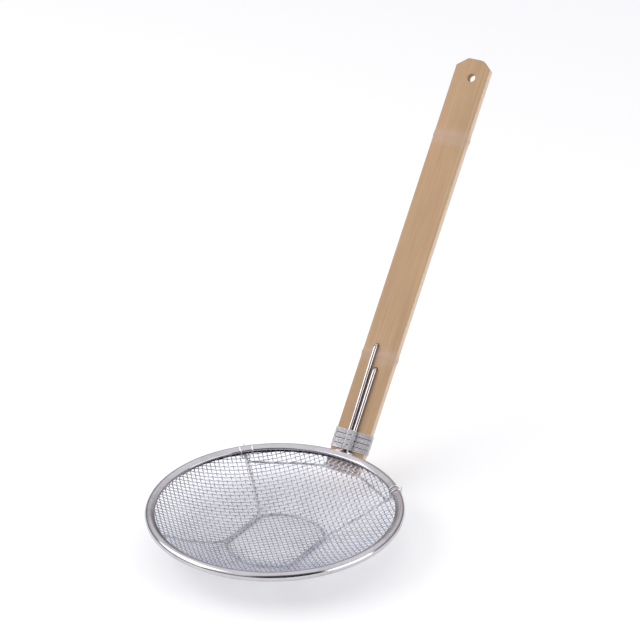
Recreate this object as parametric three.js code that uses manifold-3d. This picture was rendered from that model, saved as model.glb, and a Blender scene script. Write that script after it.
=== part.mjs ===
// Flat ramen noodle strainer: a woven wire bowl in a rolled rim, on a wire base, with a bamboo handle.
// Millimetres, +Z up. The bowl stands level on its base ring and the handle leans outwards over +X.
// The origin is the middle of the whole strainer's length and width, at the height of the ring's underside.

import * as THREE from 'three';
import { mergeVertices } from 'three/addons/utils/BufferGeometryUtils.js';
import Module from 'manifold-3d';

const wasm = await Module();
wasm.setup();

// Gap kept between pieces that touch
const CLEARANCE = 0.3;

// Rolled rim and the wire hoop inside it
const RIM_DIAMETER = 210;
const ROLL_DIAMETER = 7.4;
const STRIP_THICKNESS = 0.6;
const SLIT_ANGLE = 47;
const SLIT_WIDTH = 60;
const CORE_WIRE = 3.2;
const CORE_PLAY = 0.5;

// Woven bowl
const MESH_WIRE = 0.65;
const MESH_PITCH = 3.8;
const MESH_TURN = 45;
const BOWL_DEPTH = 25;
const FLOOR_RADIUS = 34;
const WALL_SWEEP = 1.35;

// Wire base, support wires and brace
const FRAME_WIRE = 2;
const BASE_RADIUS = 40.5;
const BASE_FLAT = 31;
const RUN_HALF_LENGTH = 25;
const FRONT_LEFT_LEG = 48.5;
const FRONT_RIGHT_LEG = 42.5;
const REAR_LEG = 140;
const LEG_SETBACK = 2;
const LEG_BEND = 0.62;
const BRACE_DROP = 9.5;
const BRACE_END_DROP = 7.2;
const BRACE_SKEW = -8;

// Bamboo handle
const HANDLE_TILT = 53.8;
const HANDLE_WIDTH = 33.3;
const HANDLE_THICKNESS = 6.5;
const HANDLE_REACH = 356.5;
const HANDLE_FOOT = 13;
const HANDLE_CROWN = 0.6;
const EDGE_ROUND = 1.2;
const CORNER_CUT = 9.3;
const CORNER_RUN = 7.5;
const HANG_HOLE = 7;
const HANG_HOLE_SETBACK = 16.6;
const HANG_HOLE_OFFSET = -1.8;
const NODE_HEIGHTS = [90, 286];
const NODE_RISE = 0.4;
const NODE_SPREAD = 4;

// Hoop ends on the handle's face
const TAIL_OFFSET = 2.2;
const TAIL_EXIT = 13;
const TAIL_LIFT = 2.6;
const LEFT_TAIL_REACH = 98;
const LEFT_TAIL_LEAN = 1.8;
const RIGHT_TAIL_REACH = 78;
const RIGHT_TAIL_LEAN = 0.4;
const TAIL_BEND = 3.2;
const HOOK_BEND = 2.2;
const HOOK_DEPTH = 4.5;

// Wire binding round the handle and the hoop ends
const BINDING_WIRE = 1.05;
const BINDING_PITCH = 1.6;
const BINDING_TURNS = 10;
const BINDING_START = 6.2;

// Thin wire ties at the rim
const TIE_WIRE = 0.9;

// Facets
const RIM_FACETS = 60;
const ROLL_FACETS = 10;
const CORE_SIDES = 8;
const FRAME_SIDES = 8;
const WOUND_SIDES = 6;
const MESH_SIDES = 4;
const CLOTH_CELL = 20;

const TURN = 2 * Math.PI;
const radians = THREE.MathUtils.degToRad;

// Corner radius of a regular section that has the area of a round wire.
function cornerRadius(diameter, sides) {
  return (diameter / 2) * Math.sqrt(TURN / (sides * Math.sin(TURN / sides)));
}

// Distance from the axis of such a section to its flats.
function flatRadius(diameter, sides) {
  return cornerRadius(diameter, sides) * Math.cos(Math.PI / sides);
}

// Wire sections
const coreReach = cornerRadius(CORE_WIRE, CORE_SIDES);
const frameReach = cornerRadius(FRAME_WIRE, FRAME_SIDES);
const frameFlat = flatRadius(FRAME_WIRE, FRAME_SIDES);
const meshReach = cornerRadius(MESH_WIRE, MESH_SIDES);
const meshFlat = flatRadius(MESH_WIRE, MESH_SIDES);
const bindingReach = cornerRadius(BINDING_WIRE, WOUND_SIDES);
const tieReach = cornerRadius(TIE_WIRE, WOUND_SIDES);

// Rim section: the roll's centre circle, and the hoop pushed against its outer wall
const rollRadius = ROLL_DIAMETER / 2;
const rollCentre = RIM_DIAMETER / 2 - rollRadius;
const hoopRadius = rollCentre + rollRadius - STRIP_THICKNESS - CORE_PLAY - CORE_WIRE / 2;
const clothEdge = hoopRadius - coreReach - CLEARANCE - meshReach;

// Dish of the bowl: rise above its floor and steepness, by distance from the middle.
function dishRise(radius) {
  const out = Math.max(0, (radius - FLOOR_RADIUS) / (clothEdge - FLOOR_RADIUS));
  return BOWL_DEPTH * out ** WALL_SWEEP;
}

function dishSlope(radius) {
  const span = clothEdge - FLOOR_RADIUS;
  const out = Math.max(0, (radius - FLOOR_RADIUS) / span);
  return Math.atan((BOWL_DEPTH * WALL_SWEEP * out ** (WALL_SWEEP - 1)) / span);
}

// Heights: base wires on the table, the two layers of the cloth above them, then the rim
const edgeSlope = dishSlope(clothEdge);
const baseHeight = frameFlat;
const weftFloor = 2 * frameFlat + CLEARANCE + meshFlat;
const weaveStep = meshFlat * (1 + Math.tan(edgeSlope)) + (meshFlat + CLEARANCE) / Math.cos(edgeSlope);
const warpFloor = weftFloor + weaveStep;
const slitRadius = rollRadius - STRIP_THICKNESS / 2;
const slitReach = rollCentre - slitRadius * Math.cos(radians(SLIT_ANGLE));
const slitHeight = (weftFloor + warpFloor) / 2 + dishRise(slitReach);
const rimHeight = slitHeight + slitRadius * Math.sin(radians(SLIT_ANGLE));

// Handle frame: the origin is where the rim bears on its face, X across, Y out of the face, Z along
const tilt = radians(HANDLE_TILT);
const across = new THREE.Vector3(0, 1, 0);
const outward = new THREE.Vector3(-Math.sin(tilt), 0, Math.cos(tilt));
const along = new THREE.Vector3(Math.cos(tilt), 0, Math.sin(tilt));
const rimPoint = new THREE.Vector3(rollCentre, 0, rimHeight);
const seat = rimPoint.clone().addScaledVector(outward, -(rollRadius + CLEARANCE));
const handleFrame = new THREE.Matrix4().makeBasis(across, outward, along).setPosition(seat);
const tailRise = NODE_RISE + CLEARANCE + coreReach;
const bindingEnd = BINDING_START + BINDING_TURNS * BINDING_PITCH + BINDING_WIRE;
const leftHole = TAIL_OFFSET + LEFT_TAIL_LEAN;
const rightHole = -TAIL_OFFSET + RIGHT_TAIL_LEAN;

function onHandle(x, y, z) {
  return new THREE.Vector3(x, y, z).applyMatrix4(handleFrame);
}

// Closed body through a row of matching rings, with flat ends or joined into a hoop.
function skin(rings, hoop = false) {
  const count = rings[0].length;
  const positions = rings.flat().flatMap((point) => point.toArray());
  const index = [];
  const spans = hoop ? rings.length : rings.length - 1;
  for (let i = 0; i < spans; i += 1) {
    const here = i * count;
    const next = ((i + 1) % rings.length) * count;
    for (let k = 0; k < count; k += 1) {
      const turned = (k + 1) % count;
      index.push(here + k, here + turned, next + turned);
      index.push(here + k, next + turned, next + k);
    }
  }
  if (!hoop) {
    const last = (rings.length - 1) * count;
    for (let k = 1; k < count - 1; k += 1) {
      index.push(0, k + 1, k);
      index.push(last, last + k, last + k + 1);
    }
  }
  const geometry = new THREE.BufferGeometry();
  geometry.setAttribute('position', new THREE.Float32BufferAttribute(positions, 3));
  geometry.setIndex(index);
  geometry.computeVertexNormals();
  return geometry;
}

// Directions along a row of points, each the mean of the steps beside it.
function tangents(points, hoop) {
  const last = points.length - 1;
  return points.map((point, i) => {
    const before = points[i > 0 ? i - 1 : hoop ? last : 0];
    const after = points[i < last ? i + 1 : hoop ? 0 : last];
    const back = point.clone().sub(before).normalize();
    const ahead = after.clone().sub(point).normalize();
    return back.add(ahead).normalize();
  });
}

// Wire of regular section along a row of points. One flat of the section faces the given normal,
// which is carried along the wire without twist, or held towards one direction where it is kept.
function wire(points, diameter, sides, normal, { hoop = false, kept = false } = {}) {
  const radius = cornerRadius(diameter, sides);
  const facing = normal.clone();
  const rings = tangents(points, hoop).map((tangent, i) => {
    if (kept) {
      facing.copy(normal);
    }
    facing.addScaledVector(tangent, -facing.dot(tangent)).normalize();
    const sideways = tangent.clone().cross(facing);
    return Array.from({ length: sides }, (_, k) => {
      const angle = ((k + 0.5) / sides) * TURN;
      return points[i]
        .clone()
        .addScaledVector(facing, radius * Math.cos(angle))
        .addScaledVector(sideways, radius * Math.sin(angle));
    });
  });
  return skin(rings, hoop);
}

// Least gap of a wound wire to itself, between points further apart along it than the reach given.
function leastGap(points, diameter, reach) {
  const lengths = [0];
  for (let i = 1; i < points.length; i += 1) {
    lengths.push(lengths[i - 1] + points[i].distanceTo(points[i - 1]));
  }
  let least = Infinity;
  for (let i = 0; i < points.length; i += 1) {
    for (let k = i + 1; k < points.length; k += 1) {
      if (lengths[k] - lengths[i] > reach) {
        least = Math.min(least, points[i].distanceTo(points[k]));
      }
    }
  }
  return least - diameter;
}

// Closed geometry as a solid for joining and cutting, and back.
function solid(geometry) {
  const bare = geometry.clone();
  bare.deleteAttribute('normal');
  bare.deleteAttribute('uv');
  const merged = mergeVertices(bare);
  return new wasm.Manifold(
    new wasm.Mesh({
      numProp: 3,
      vertProperties: new Float32Array(merged.attributes.position.array),
      triVerts: new Uint32Array(merged.index.array),
    }),
  );
}

function surface(body) {
  const { vertProperties, triVerts } = body.getMesh();
  const geometry = new THREE.BufferGeometry();
  geometry.setAttribute('position', new THREE.BufferAttribute(vertProperties, 3));
  geometry.setIndex(new THREE.BufferAttribute(triVerts, 1));
  geometry.computeVertexNormals();
  return geometry;
}

// Materials
function steel(color, roughness) {
  return new THREE.MeshStandardMaterial({ color, roughness, metalness: 1 });
}

const bright = () => steel(0xd2d3d6, 0.25);
const dull = () => steel(0xbfc1c6, 0.4);

function bamboo() {
  return new THREE.MeshStandardMaterial({ color: 0xbe9e82, roughness: 0.55, metalness: 0 });
}

function named(name, geometry, material) {
  const mesh = new THREE.Mesh(geometry, material);
  mesh.name = name;
  return mesh;
}

// Rolled strip round the rim, cut away behind the handle where the hoop's ends come out.
function rimBand() {
  const start = radians(180 + SLIT_ANGLE + SLIT_WIDTH / 2);
  const sweep = radians(360 - SLIT_WIDTH);
  const profile = [];
  const arc = (radius, from, to) => {
    for (let k = 0; k <= ROLL_FACETS; k += 1) {
      const angle = start + sweep * THREE.MathUtils.lerp(from, to, k / ROLL_FACETS);
      const reach = rollCentre + radius * Math.cos(angle);
      profile.push(new THREE.Vector2(reach, rimHeight + radius * Math.sin(angle)));
    }
  };
  arc(rollRadius, 0, 1);
  arc(rollRadius - STRIP_THICKNESS, 1, 0);
  profile.push(profile[0].clone());
  const roll = new THREE.LatheGeometry(profile, RIM_FACETS).rotateX(Math.PI / 2);
  const width = 2 * (TAIL_EXIT + 2 * CLEARANCE);
  const top = rollRadius + coreReach;
  const height = rollRadius + 2 * CLEARANCE + coreReach;
  const window = new THREE.BoxGeometry(width, 2 * top, height);
  window.translate(0, 0, height / 2 - coreReach);
  window.applyMatrix4(handleFrame);
  return surface(solid(roll).subtract(solid(window)));
}

// One end of the hoop: it lifts out of the rim, bends up the handle, runs straight under the binding
// and then leans to its hole.
function tailPoints(side, hole, reach) {
  const x = side * TAIL_OFFSET;
  const knee = x + side * TAIL_BEND;
  const toHandle = handleFrame.clone().invert();
  const foot = new THREE.Vector3();
  const points = [];
  const lifts = 4;
  for (let k = 0; k <= lifts; k += 1) {
    const aside = THREE.MathUtils.lerp(side * TAIL_EXIT, knee, k / lifts);
    foot.set(Math.sqrt(hoopRadius ** 2 - aside ** 2), aside, rimHeight).applyMatrix4(toHandle);
    foot.z += TAIL_LIFT * THREE.MathUtils.smoothstep(k, 0, lifts);
    points.push(onHandle(foot.x, foot.y, foot.z));
  }
  const steps = 6;
  for (let k = 1; k <= steps; k += 1) {
    const turned = (k / steps) * (Math.PI / 2);
    const y = THREE.MathUtils.lerp(foot.y, tailRise, k / steps);
    const rise = TAIL_BEND * (1 - Math.cos(turned));
    points.push(onHandle(x + side * TAIL_BEND * (1 - Math.sin(turned)), y, foot.z + rise));
  }
  points.push(onHandle(x, tailRise, bindingEnd));
  for (let k = 0; k <= steps; k += 1) {
    const turned = (k / steps) * (Math.PI / 2);
    const y = tailRise - HOOK_BEND * (1 - Math.cos(turned));
    points.push(onHandle(hole, y, reach - HOOK_BEND * (1 - Math.sin(turned))));
  }
  points.push(onHandle(hole, -HOOK_DEPTH, reach));
  return points;
}

// Hoop inside the rim with both its ends on the handle, as one wire.
function rimCoreWire() {
  const left = tailPoints(1, leftHole, LEFT_TAIL_REACH);
  const right = tailPoints(-1, rightHole, RIGHT_TAIL_REACH);
  const points = left.reverse();
  const leave = Math.asin(TAIL_EXIT / hoopRadius);
  for (let k = 1; k < RIM_FACETS; k += 1) {
    const angle = (k / RIM_FACETS) * TURN;
    if (angle > 1.2 * leave && angle < TURN - 1.2 * leave) {
      points.push(new THREE.Vector3(hoopRadius * Math.cos(angle), hoopRadius * Math.sin(angle), rimHeight));
    }
  }
  points.push(...right);
  return wire(points, CORE_WIRE, CORE_SIDES, along);
}

// Plan distance from the middle that a length of wire laid up the dish covers.
function planReach(length) {
  const step = MESH_WIRE / 10;
  let reach = 0;
  for (let laid = 0; laid < length; laid += step) {
    reach += step * Math.cos(dishSlope(reach));
  }
  return reach;
}

// Offsets of the parallel wires from the middle, a pitch apart along the cloth.
function wireOffsets() {
  const half = [];
  for (let k = 1; ; k += 1) {
    const offset = planReach(k * MESH_PITCH);
    if (Math.hypot(offset, MESH_PITCH) > clothEdge) {
      break;
    }
    half.push(offset);
  }
  return [...half.map((offset) => -offset).reverse(), 0, ...half];
}

// The cloth's rise over a square net of nodes on the dish, straight from node to node.
function clothRise(u, v) {
  const i = Math.floor(u / CLOTH_CELL);
  const k = Math.floor(v / CLOTH_CELL);
  const node = (a, b) => dishRise(CLOTH_CELL * Math.hypot(i + a, k + b));
  const near = THREE.MathUtils.lerp(node(0, 0), node(1, 0), u / CLOTH_CELL - i);
  const far = THREE.MathUtils.lerp(node(0, 1), node(1, 1), u / CLOTH_CELL - i);
  return THREE.MathUtils.lerp(near, far, v / CLOTH_CELL - k);
}

// All wires of one direction as a single wire that doubles back inside the rim at each end.
function meshLayer(floor) {
  const points = [];
  wireOffsets().forEach((v, row) => {
    const end = Math.sqrt(clothEdge ** 2 - v ** 2);
    const stops = [-end];
    const cells = Math.ceil((end - CLOTH_CELL / 4) / CLOTH_CELL) - 1;
    for (let k = -cells; k <= cells; k += 1) {
      stops.push(k * CLOTH_CELL);
    }
    stops.push(end);
    if (row % 2) {
      stops.reverse();
    }
    stops.forEach((u) => points.push(new THREE.Vector3(u, v, floor + clothRise(u, v))));
  });
  const up = new THREE.Vector3(0, 0, 1);
  return wire(points, MESH_WIRE, MESH_SIDES, up, { kept: true });
}

// Ring that the bowl stands on: a circle with two flattened sides.
function baseRing() {
  const corner = Math.asin(BASE_FLAT / BASE_RADIUS);
  const path = new THREE.Path();
  path.absarc(0, 0, BASE_RADIUS, -corner, corner);
  path.absarc(0, 0, BASE_RADIUS, Math.PI - corner, Math.PI + corner);
  path.closePath();
  const points = path.getSpacedPoints(RIM_FACETS).slice(0, -1);
  const ring = points.map((point) => new THREE.Vector3(point.x, point.y, baseHeight));
  return wire(ring, FRAME_WIRE, FRAME_SIDES, new THREE.Vector3(0, 0, 1), { hoop: true });
}

// Height of a frame wire's axis where it lies under the cloth.
function underCloth(x, y) {
  const radius = Math.hypot(x, y);
  const drop = weftFloor - baseHeight;
  return weftFloor + dishRise(radius) - drop / Math.cos(dishSlope(radius));
}

// Plan point on a ray from the bowl's axis.
function onRay(degrees, reach) {
  return new THREE.Vector2(reach, 0).rotateAround(new THREE.Vector2(), radians(degrees));
}

// Support wire: a run beside the base ring and a leg up to the rim at each end.
const legReach = rollCentre - LEG_SETBACK;
const runOffset = BASE_FLAT + 2 * frameReach + CLEARANCE;

function supportWire(side, frontLeg) {
  const bend = legReach * LEG_BEND;
  const front = onRay(frontLeg, legReach);
  const frontBend = onRay(frontLeg, bend);
  const rear = onRay(REAR_LEG, legReach);
  const rearBend = onRay(REAR_LEG, bend);
  const path = new THREE.Path();
  path.moveTo(front.x, front.y);
  path.quadraticCurveTo(frontBend.x, frontBend.y, RUN_HALF_LENGTH, runOffset);
  path.lineTo(-RUN_HALF_LENGTH, runOffset);
  path.quadraticCurveTo(rearBend.x, rearBend.y, rear.x, rear.y);
  const plan = path.getSpacedPoints(36);
  const points = plan.map(({ x, y }) => new THREE.Vector3(x, side * y, underCloth(x, y)));
  return wire(points, FRAME_WIRE, FRAME_SIDES, new THREE.Vector3(0, 0, 1), { kept: true });
}

// Distance from the middle at which a leg's axis passes a height.
function legReachAt(height) {
  let near = FLOOR_RADIUS;
  let far = legReach;
  for (let k = 0; k < 40; k += 1) {
    const middle = (near + far) / 2;
    if (underCloth(middle, 0) < height) {
      near = middle;
    } else {
      far = middle;
    }
  }
  return near;
}

// Opening of the cloth for a strand of a tie: beside the leg and next to the rim, clear of both.
function strandOpening(leg, side, reach) {
  const beside = new THREE.Vector2(-leg.y, leg.x).multiplyScalar(side);
  const clear = frameReach + CLEARANCE + tieReach;
  const offsets = wireOffsets();
  const middles = offsets.slice(1).map((offset, i) => (offset + offsets[i]) / 2);
  let best = null;
  let least = Infinity;
  for (const u of middles) {
    for (const v of middles) {
      const opening = new THREE.Vector2(u, v).rotateAround(new THREE.Vector2(), radians(MESH_TURN));
      const away = opening.dot(beside);
      const spare = reach - opening.dot(leg);
      if (away > clear && spare > 0 && away + spare < least) {
        best = opening;
        least = away + spare;
      }
    }
  }
  return best;
}

// Openings of the cloth for both strands of the tie at a leg.
const tieRound = rollRadius + CLEARANCE + tieReach;

function tieStrands(angle) {
  return [-1, 1].map((way) => strandOpening(onRay(angle, 1), way, rollCentre - tieRound));
}

// Brace: a bent wire under the cloth, from the side of one leg to the other, that bears on the handle's foot.
function handleBrace() {
  const gap = frameReach + CLEARANCE;
  const faceReach = seat.x - (seat.z - rimHeight + BRACE_DROP) / Math.tan(tilt);
  const crest = faceReach - gap / Math.sin(tilt);
  const strands = [FRONT_LEFT_LEG, -FRONT_RIGHT_LEG].flatMap(tieStrands);
  const strandReach = Math.min(...strands.map((opening) => opening.length()));
  const leg = Math.min(legReachAt(rimHeight - BRACE_END_DROP), strandReach - tieReach - gap);
  const shortBy = THREE.MathUtils.radToDeg((gap + CLEARANCE) / leg);
  const left = onRay(FRONT_LEFT_LEG - shortBy, leg);
  const right = onRay(shortBy - FRONT_RIGHT_LEG, leg);
  const path = new THREE.Path();
  path.moveTo(right.x, right.y);
  path.quadraticCurveTo(crest, -HANDLE_WIDTH / 2, crest, BRACE_SKEW);
  path.quadraticCurveTo(crest, HANDLE_WIDTH / 2, left.x, left.y);
  const points = path.getSpacedPoints(26).map(({ x, y }) => {
    const end = y > BRACE_SKEW ? left : right;
    const share = (end.y - y) / (end.y - BRACE_SKEW);
    const drop = THREE.MathUtils.lerp(BRACE_END_DROP, BRACE_DROP, Math.sin(share * (Math.PI / 2)));
    return new THREE.Vector3(x, y, Math.min(rimHeight - drop, underCloth(x, y)));
  });
  return wire(points, FRAME_WIRE, FRAME_SIDES, new THREE.Vector3(0, 0, 1));
}

// Bamboo slat with swollen nodes, cut corners, a hanging hole and two holes for the hoop's ends.
function bambooHandle() {
  const half = HANDLE_WIDTH / 2 - EDGE_ROUND;
  const low = -HANDLE_THICKNESS + EDGE_ROUND;
  const high = -HANDLE_CROWN - EDGE_ROUND;
  const section = new THREE.Shape();
  section.absarc(half, low, EDGE_ROUND, -Math.PI / 2, 0);
  section.absarc(half, high, EDGE_ROUND, 0, Math.PI / 2);
  section.quadraticCurveTo(0, HANDLE_CROWN, -half, -HANDLE_CROWN);
  section.absarc(-half, high, EDGE_ROUND, Math.PI / 2, Math.PI);
  section.absarc(-half, low, EDGE_ROUND, Math.PI, 1.5 * Math.PI);
  const outline = section.getPoints(4);
  const middle = -HANDLE_THICKNESS / 2;
  const ring = (height, rise) =>
    outline.map(({ x, y }) => {
      const wide = 1 + (2 * rise) / HANDLE_WIDTH;
      const thick = 1 + (2 * rise) / HANDLE_THICKNESS;
      return new THREE.Vector3(x * wide, middle + (y - middle) * thick, height);
    });
  const rings = [ring(-HANDLE_FOOT, 0)];
  for (const height of NODE_HEIGHTS) {
    rings.push(ring(height - NODE_SPREAD, 0));
    rings.push(ring(height - NODE_SPREAD / 4, NODE_RISE));
    rings.push(ring(height + NODE_SPREAD / 4, NODE_RISE));
    rings.push(ring(height + NODE_SPREAD, 0));
  }
  rings.push(ring(HANDLE_REACH, 0));
  let slat = solid(skin(rings));
  const drill = (diameter, x, height) => {
    const hole = new THREE.CylinderGeometry(diameter / 2, diameter / 2, 3 * HANDLE_THICKNESS, 16);
    slat = slat.subtract(solid(hole.translate(x, middle, height)));
  };
  drill(HANG_HOLE, HANG_HOLE_OFFSET, HANDLE_REACH - HANG_HOLE_SETBACK);
  drill(2 * (coreReach + CLEARANCE), leftHole, LEFT_TAIL_REACH);
  drill(2 * (coreReach + CLEARANCE), rightHole, RIGHT_TAIL_REACH);
  for (const side of [-1, 1]) {
    const corner = new THREE.Shape();
    const edge = HANDLE_WIDTH / 2;
    corner.moveTo(side * (edge - CORNER_CUT), HANDLE_REACH);
    corner.lineTo(side * edge, HANDLE_REACH - CORNER_RUN);
    corner.lineTo(side * (edge + CORNER_CUT), HANDLE_REACH - CORNER_RUN);
    corner.lineTo(side * (edge + CORNER_CUT), HANDLE_REACH + CORNER_RUN);
    corner.lineTo(side * (edge - CORNER_CUT), HANDLE_REACH + CORNER_RUN);
    const wedge = new THREE.ExtrudeGeometry(corner, { depth: 3 * HANDLE_THICKNESS, bevelEnabled: false });
    slat = slat.subtract(solid(wedge.rotateX(Math.PI / 2).translate(0, HANDLE_THICKNESS, 0)));
  }
  return surface(slat);
}

// One turn of the binding, from the middle of the handle's back round its edges and over the hoop's ends.
function bindingTurn() {
  const off = bindingReach + CLEARANCE;
  const edge = HANDLE_WIDTH / 2;
  const hug = coreReach + CLEARANCE + bindingReach;
  const knee = TAIL_OFFSET + hug + bindingReach;
  const right = [];
  const corner = (x, y, radius, from, to) => {
    for (let k = 0; k <= 2; k += 1) {
      const angle = radians(THREE.MathUtils.lerp(from, to, k / 2));
      right.push(new THREE.Vector2(x + radius * Math.cos(angle), y + radius * Math.sin(angle)));
    }
  };
  corner(edge, -HANDLE_THICKNESS, off, -90, 0);
  corner(edge, 0, off, 0, 90);
  right.push(new THREE.Vector2((edge + knee) / 2, off));
  right.push(new THREE.Vector2(knee, off));
  corner(TAIL_OFFSET, tailRise, hug, 0, 90);
  const left = right.map(({ x, y }) => new THREE.Vector2(-x, y)).reverse();
  return [new THREE.Vector2(0, -HANDLE_THICKNESS - off), ...right, ...left];
}

// Binding: the turns climb the handle at a steady pitch, and both ends lie straight along its back.
function handleBinding() {
  const turn = bindingTurn();
  const points = [];
  const lay = ({ x, y }, turned) => {
    points.push(new THREE.Vector3(x, y, BINDING_START + BINDING_PITCH * turned));
  };
  const tuck = new THREE.Vector2(-2 * BINDING_WIRE, turn[0].y);
  lay(tuck, 0);
  for (let k = 0; k < BINDING_TURNS; k += 1) {
    turn.forEach((point, i) => lay(point, k + i / turn.length));
  }
  lay(turn[0], BINDING_TURNS);
  lay({ x: -tuck.x, y: tuck.y }, BINDING_TURNS);
  console.log('handle_binding least gap', leastGap(points, BINDING_WIRE, HANDLE_WIDTH).toFixed(2));
  return wire(points, BINDING_WIRE, WOUND_SIDES, new THREE.Vector3(0, 0, 1), { kept: true });
}

// Tie: turns of thin wire over the rim, through the cloth beside a leg and under the leg's end.
function rimTie(name, angle) {
  const round = tieRound;
  const below = (frameReach + CLEARANCE + tieReach) / Math.cos(edgeSlope);
  const leg = onRay(angle, 1);
  const side = new THREE.Vector2(-leg.y, leg.x);
  const strands = tieStrands(angle);
  const over = 14;
  const under = 6;
  const steps = over + 2 + under;
  const lead = (strands[1].dot(side) - strands[0].dot(side)) / steps;
  const points = [];
  strands.forEach((opening) => {
    const reach = opening.dot(leg);
    const lay = (u, z) => {
      const across = strands[0].dot(side) + lead * (points.length - over - 1);
      const plan = leg.clone().multiplyScalar(u).addScaledVector(side, across);
      points.push(new THREE.Vector3(plan.x, plan.y, z));
    };
    for (let k = 0; k < over; k += 1) {
      const turned = radians(THREE.MathUtils.lerp(-50, 180, k / (over - 1)));
      lay(rollCentre + round * Math.cos(turned), rimHeight + round * Math.sin(turned));
    }
    lay(reach, rimHeight - round / 2);
    lay(reach, weftFloor + dishRise(reach));
    for (let k = 0; k < under; k += 1) {
      const u = THREE.MathUtils.lerp(reach, legReach + tieReach, k / (under - 1));
      lay(u, underCloth(u, 0) - below);
    }
  });
  const last = points.length - 1;
  points.push(points[last].clone().multiplyScalar(2).sub(points[last - 1]));
  points.unshift(points[0].clone().multiplyScalar(2).sub(points[1]));
  console.log(name, 'least gap', leastGap(points, TIE_WIRE, round).toFixed(2));
  const normal = new THREE.Vector3(side.x, side.y, 0);
  return named(name, wire(points, TIE_WIRE, WOUND_SIDES, normal, { kept: true }), bright());
}

// Assembly
const strainer = new THREE.Group();
strainer.add(named('rim_band', rimBand(), bright()));
strainer.add(named('rim_core_wire', rimCoreWire(), bright()));

const cloth = new THREE.Group();
cloth.rotation.z = radians(MESH_TURN);
const warp = named('mesh_warp', meshLayer(warpFloor), dull());
const weft = named('mesh_weft', meshLayer(weftFloor), dull());
weft.rotation.z = Math.PI / 2;
cloth.add(warp, weft);
strainer.add(cloth);

strainer.add(named('base_ring', baseRing(), dull()));
strainer.add(named('support_wire_left', supportWire(1, FRONT_LEFT_LEG), dull()));
strainer.add(named('support_wire_right', supportWire(-1, FRONT_RIGHT_LEG), dull()));
strainer.add(named('handle_brace', handleBrace(), dull()));
strainer.add(rimTie('rim_tie_left', FRONT_LEFT_LEG));
strainer.add(rimTie('rim_tie_right', -FRONT_RIGHT_LEG));

const handle = new THREE.Group();
handle.applyMatrix4(handleFrame);
handle.add(named('bamboo_handle', bambooHandle(), bamboo()));
handle.add(named('handle_binding', handleBinding(), bright()));
strainer.add(handle);

// Shift from the bowl's axis to the middle of the length
const bounds = new THREE.Box3().setFromObject(strainer, true);
strainer.position.x = -(bounds.min.x + bounds.max.x) / 2;

export default strainer;
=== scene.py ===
"""Ramen noodle strainer: finished look of the wire bowl and its bamboo handle."""

import math

import bpy
import numpy as np
from mathutils import Matrix, Vector


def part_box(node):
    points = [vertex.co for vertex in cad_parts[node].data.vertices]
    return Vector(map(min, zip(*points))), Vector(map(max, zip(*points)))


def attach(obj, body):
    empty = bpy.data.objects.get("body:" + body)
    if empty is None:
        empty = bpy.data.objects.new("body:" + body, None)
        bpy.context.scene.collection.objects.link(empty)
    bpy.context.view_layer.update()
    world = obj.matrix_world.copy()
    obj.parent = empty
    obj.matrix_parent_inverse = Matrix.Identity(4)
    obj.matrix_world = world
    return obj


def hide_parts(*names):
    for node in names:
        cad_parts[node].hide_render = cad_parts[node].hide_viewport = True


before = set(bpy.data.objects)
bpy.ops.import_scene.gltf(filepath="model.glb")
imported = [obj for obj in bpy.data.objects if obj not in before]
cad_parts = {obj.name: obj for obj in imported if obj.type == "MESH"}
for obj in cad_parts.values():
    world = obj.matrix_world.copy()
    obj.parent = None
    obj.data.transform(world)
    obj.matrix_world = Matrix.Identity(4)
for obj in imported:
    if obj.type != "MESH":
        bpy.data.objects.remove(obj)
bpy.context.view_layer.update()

# Lengths are in millimetres, from the bowl's axis and the table, and angles in degrees
MM = 0.001
TOUCH = 0.03

# Rolled rim
RIM_HEIGHT = 30.098
ROLL_CENTRE = 101.15
ROLL_RADIUS = 3.74
STRIP_THICKNESS = 0.6
FLAT_ANGLE = 60
FLAT_LENGTH = 2.18
LIP_BEND = 1.2
LIP_DROP = 0.8
LOWER_LIP = 80
SLIT_ANGLE = 47
WINDOW_SIDE = 0.6
WINDOW_DEPTH = 0.2
WINDOW_TOP = 0.3
RIM_STEPS = 288
ROLL_STEPS = 34
BEND_STEPS = 10
LIP_STEPS = 4

# Hoop in the rim, with both its ends on the handle
HOOP_RADIUS = 102.3
CORE_RADIUS = 1.72
HOOP_LEAVE_RATIO = 1.15
# How far in from where the hoop leaves the roll its painted shade starts
HOOP_SHADE_SETBACK = 4
TAIL_OFFSET = 2.5
TAIL_SHIFT = 0.35
TAIL_EXIT = 13
TAIL_LIFT = 2.6
TAIL_BEND = 3.2
TAIL_LEAN = (0.2, 0.85)
LEFT_TAIL_REACH = 98
LEFT_HOLE = 4.0
RIGHT_TAIL_REACH = 78
RIGHT_HOLE = -1.8
HOOK_BEND = 2.2
HOOK_DEPTH = 4.5

# Woven bowl; each end of a wire is bent up in the roll by points from the roll's centre
MESH_WIRE = 0.78
MESH_PITCH = 3.8
MESH_TURN = 45
CLOTH_EDGE = 99.91
CLOTH_INSET = 2.9
FLOOR_RADIUS = 34
WALL_SWEEP = 1.35
WIRE_SWING = (0.05, 0.16)
SWING_LENGTH = (14, 30)
TURNED_UP = ((-2.35, -2.45), (-2.3, -1.5), (-2.35, -0.4), (-2.45, 0.9))

# Wire base
FRAME_RADIUS = 0.94
BASE_RADIUS = 40.5
BASE_FLAT = 31
BASE_SMOOTHINGS = 14
RUN_HALF_LENGTH = 25
RUN_OFFSET = 33.2
LEG_REACH = 99.3
LEG_BEND_RATIO = 0.62
FRONT_LEFT_LEG = 48.5
FRONT_RIGHT_LEG = 42.5
REAR_LEG = 140
BRACE_DROP = 9.5
BRACE_END_DROP = 7.2
BRACE_SKEW = -8
BRACE_SHORT_RATIO = 1.6

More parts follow.
